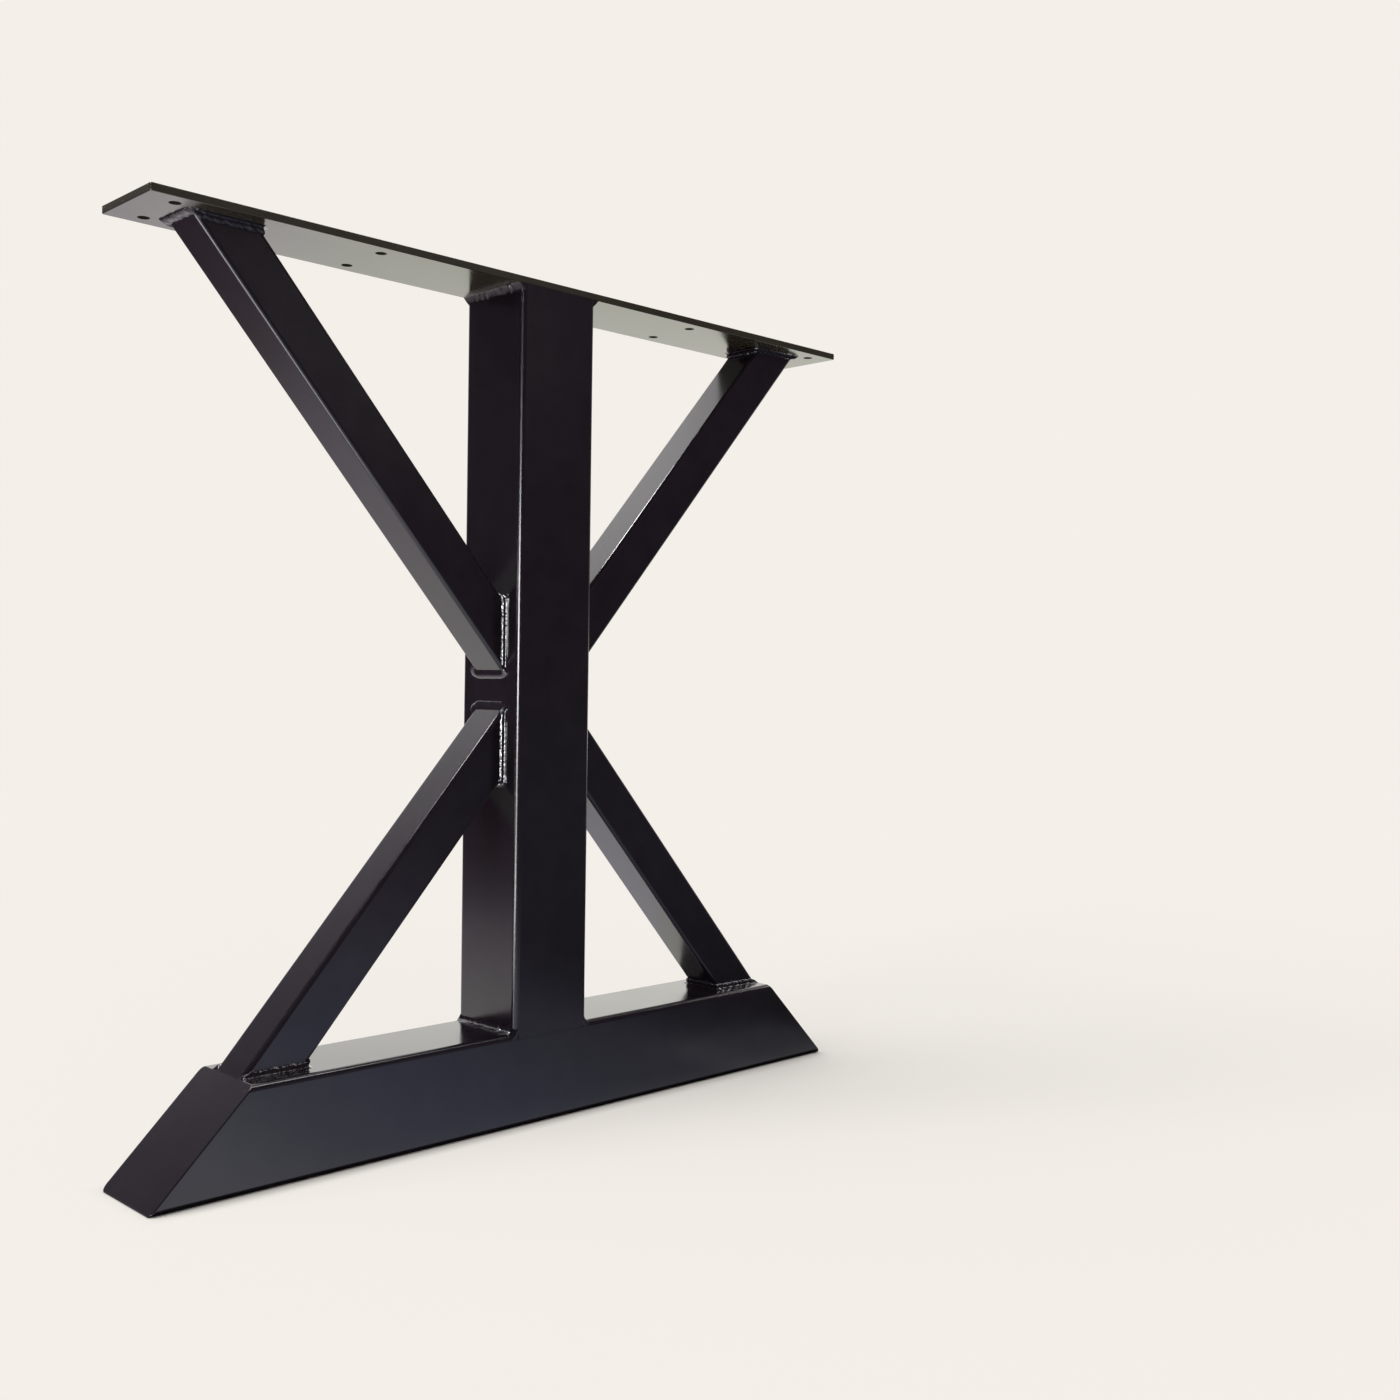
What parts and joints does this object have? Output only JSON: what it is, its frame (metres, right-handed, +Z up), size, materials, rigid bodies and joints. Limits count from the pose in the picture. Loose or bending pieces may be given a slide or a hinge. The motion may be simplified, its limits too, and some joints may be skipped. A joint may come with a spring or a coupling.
{
  "type": "welded steel trestle leg",
  "caption": "Welded black steel trestle leg: a flat top plate on a square centre post, a base beam with sloping capped ends, and diagonal square-tube braces above and below.",
  "frame": {"origin": "middle of the underside of the base beam, on the floor", "axes": "+X along the top plate and the base beam, +Y across them, +Z up"},
  "size_m": [0.73, 0.08, 0.72],
  "materials": {
    "powder_coat_tube": "satin black powder coat on square steel tube",
    "powder_coat_plate": "satin black powder coat on flat steel bar",
    "powder_coat_weld": "black powder coat over rippled fillet weld, slightly glossier than the tube",
    "powder_coat_ground_weld": "satin black powder coat over weld ground flush"
  },
  "bodies": {
    "root": {"base_beam": "powder_coat_tube", "center_post": "powder_coat_tube", "end_cap_left": "powder_coat_tube", "end_cap_right": "powder_coat_tube", "end_cap_seam_left": "powder_coat_ground_weld", "end_cap_seam_right": "powder_coat_ground_weld", "lower_brace_base_weld_left": "powder_coat_weld", "lower_brace_base_weld_right": "powder_coat_weld", "lower_brace_ground_seam_left": "powder_coat_ground_weld", "lower_brace_ground_seam_right": "powder_coat_ground_weld", "lower_brace_left": "powder_coat_tube", "lower_brace_post_weld_left": "powder_coat_weld", "lower_brace_post_weld_right": "powder_coat_weld", "lower_brace_right": "powder_coat_tube", "post_base_weld_back": "powder_coat_ground_weld", "post_base_weld_front": "powder_coat_ground_weld", "post_base_weld_left": "powder_coat_weld", "post_base_weld_right": "powder_coat_weld", "post_plate_weld_back": "powder_coat_ground_weld", "post_plate_weld_front": "powder_coat_ground_weld", "post_plate_weld_left": "powder_coat_weld", "post_plate_weld_right": "powder_coat_weld", "top_plate": "powder_coat_plate", "upper_brace_left": "powder_coat_tube", "upper_brace_plate_weld_left": "powder_coat_weld", "upper_brace_plate_weld_right": "powder_coat_weld", "upper_brace_post_weld_left": "powder_coat_weld", "upper_brace_post_weld_right": "powder_coat_weld", "upper_brace_right": "powder_coat_tube"}
  },
  "joints": []
}
